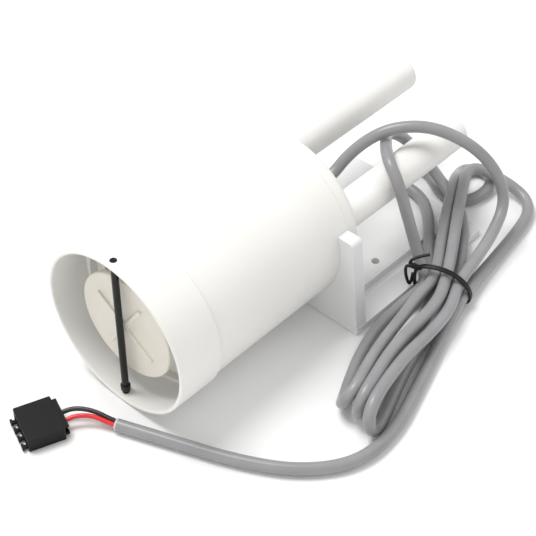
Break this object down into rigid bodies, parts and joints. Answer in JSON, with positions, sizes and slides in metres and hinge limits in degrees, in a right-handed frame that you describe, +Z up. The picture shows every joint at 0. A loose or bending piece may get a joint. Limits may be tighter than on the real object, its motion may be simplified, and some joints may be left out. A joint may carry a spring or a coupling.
{
  "type": "submersible sump pump",
  "caption": "Small cylindrical submersible pump with open mouth, impeller, two rear tubes, slotted L bracket and a tied grey cable ending in a plug-in connector.",
  "frame": {"origin": "on the resting surface under the middle of the pump's bounding box, cable left out", "axes": "+X along the pump axis from the open mouth to the outlet, +Z up, the pump lying on its bracket plate and collar"},
  "size_m": [0.2222, 0.1158, 0.064],
  "materials": {
    "body_plastic": "moulded matt warm white plastic",
    "bracket_plastic": "moulded matt white plastic",
    "impeller_plastic": "moulded matt ivory plastic",
    "pin_plastic": "satin black nylon",
    "seal_rubber": "matt black rubber",
    "cable_jacket": "satin mid grey PVC",
    "black_insulation": "satin black PVC",
    "red_insulation": "satin red PVC",
    "connector_plastic": "satin black nylon",
    "contact_metal": "tin plated brass",
    "steel": "ground steel",
    "can_steel": "zinc plated pressed steel",
    "bronze": "sintered bronze",
    "magnet": "dark grey ferrite",
    "copper": "enamelled copper wire",
    "carbon": "pressed carbon",
    "board": "green glass-filled board",
    "tie_plastic": "black plastic coated wire"
  },
  "bodies": {
    "pump_body": {"mouth_collar": "body_plastic", "housing": "body_plastic", "end_cap": "body_plastic", "outlet_tube": "body_plastic", "vent_tube": "body_plastic", "mounting_bracket": "bracket_plastic", "retaining_pin": "pin_plastic", "pump_plate": "body_plastic", "cap_o_ring": "seal_rubber", "plate_o_ring": "seal_rubber", "shaft_seal": "seal_rubber", "motor_can": "can_steel", "front_bush": "bronze", "rear_bush": "bronze", "motor_end_cap": "connector_plastic", "field_magnets": "magnet", "carbon_brushes": "carbon", "motor_screws": "steel", "circuit_board": "board", "capacitor": "connector_plastic", "cable_gland": "cable_jacket", "cord_lead": "cable_jacket", "cord_loop": "cable_jacket", "cord_turn": "cable_jacket", "cord_tail": "cable_jacket", "cord_hank": "cable_jacket", "twist_tie": "tie_plastic", "black_wire": "black_insulation", "red_wire": "red_insulation", "connector_housing": "connector_plastic", "connector_contacts": "contact_metal"},
    "rotor": {"impeller": "impeller_plastic", "motor_shaft": "steel", "armature_core": "can_steel", "armature_windings": "copper", "commutator": "copper"}
  },
  "joints": [
    {"name": "rotor_spin", "type": "hinge", "parent": "pump_body", "child": "rotor", "pos_m": [-0.067, 0.0043, 0.032], "axis": [1, 0, 0], "continuous": true}
  ]
}
